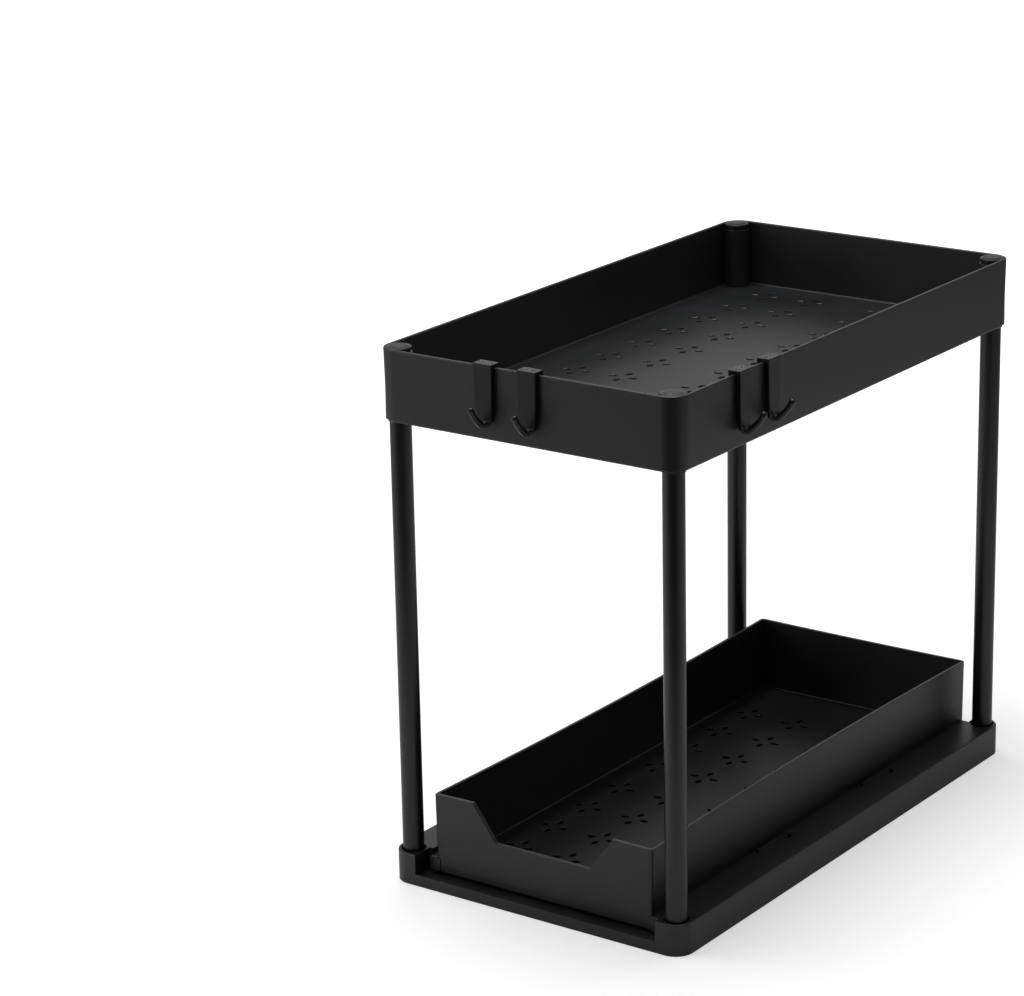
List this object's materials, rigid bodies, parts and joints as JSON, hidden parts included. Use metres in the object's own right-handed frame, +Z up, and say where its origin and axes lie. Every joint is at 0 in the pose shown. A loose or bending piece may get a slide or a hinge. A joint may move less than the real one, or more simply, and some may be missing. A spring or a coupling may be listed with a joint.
{
  "type": "under sink organizer",
  "caption": "Two-tier cupboard organizer: a base with a pull-out drawer, round posts, an open top tray and lift-off hooks on the tray's rim.",
  "frame": {"origin": "centre of the base's footprint on the shelf, at the foot of the base's middle stiffening rib", "axes": "+X to the right seen from the front, +Y from the drawer's front to the back, +Z up"},
  "size_m": [0.2279, 0.4075, 0.3381],
  "materials": {
    "matte_plastic_body": "matte black moulded plastic",
    "painted_steel_post": "satin black powder coat on steel tube",
    "matte_plastic_cap": "matte black moulded plastic",
    "gloss_plastic_hook": "semi-gloss black moulded plastic"
  },
  "bodies": {
    "frame_body": {"base": "matte_plastic_body", "top_tray": "matte_plastic_body", "post_front_left": "painted_steel_post", "post_front_right": "painted_steel_post", "post_back_left": "painted_steel_post", "post_back_right": "painted_steel_post", "cap_front_left": "matte_plastic_cap", "cap_front_right": "matte_plastic_cap", "cap_back_left": "matte_plastic_cap", "cap_back_right": "matte_plastic_cap"},
    "drawer_body": {"drawer": "matte_plastic_body"},
    "hook_front_left_body": {"hook_front_left": "gloss_plastic_hook"},
    "hook_front_right_body": {"hook_front_right": "gloss_plastic_hook"},
    "hook_side_front_body": {"hook_side_front": "gloss_plastic_hook"},
    "hook_side_back_body": {"hook_side_back": "gloss_plastic_hook"}
  },
  "joints": [
    {"name": "drawer_slide", "type": "slide", "parent": "frame_body", "child": "drawer_body", "axis": [0, -1, 0], "range_m": [0, 0.24]},
    {"name": "hook_front_left_lift", "type": "slide", "parent": "frame_body", "child": "hook_front_left_body", "axis": [0, 0, 1], "range_m": [0, 0.05]},
    {"name": "hook_front_right_lift", "type": "slide", "parent": "frame_body", "child": "hook_front_right_body", "axis": [0, 0, 1], "range_m": [0, 0.05]},
    {"name": "hook_side_front_lift", "type": "slide", "parent": "frame_body", "child": "hook_side_front_body", "axis": [0, 0, 1], "range_m": [0, 0.05]},
    {"name": "hook_side_back_lift", "type": "slide", "parent": "frame_body", "child": "hook_side_back_body", "axis": [0, 0, 1], "range_m": [0, 0.05]}
  ]
}
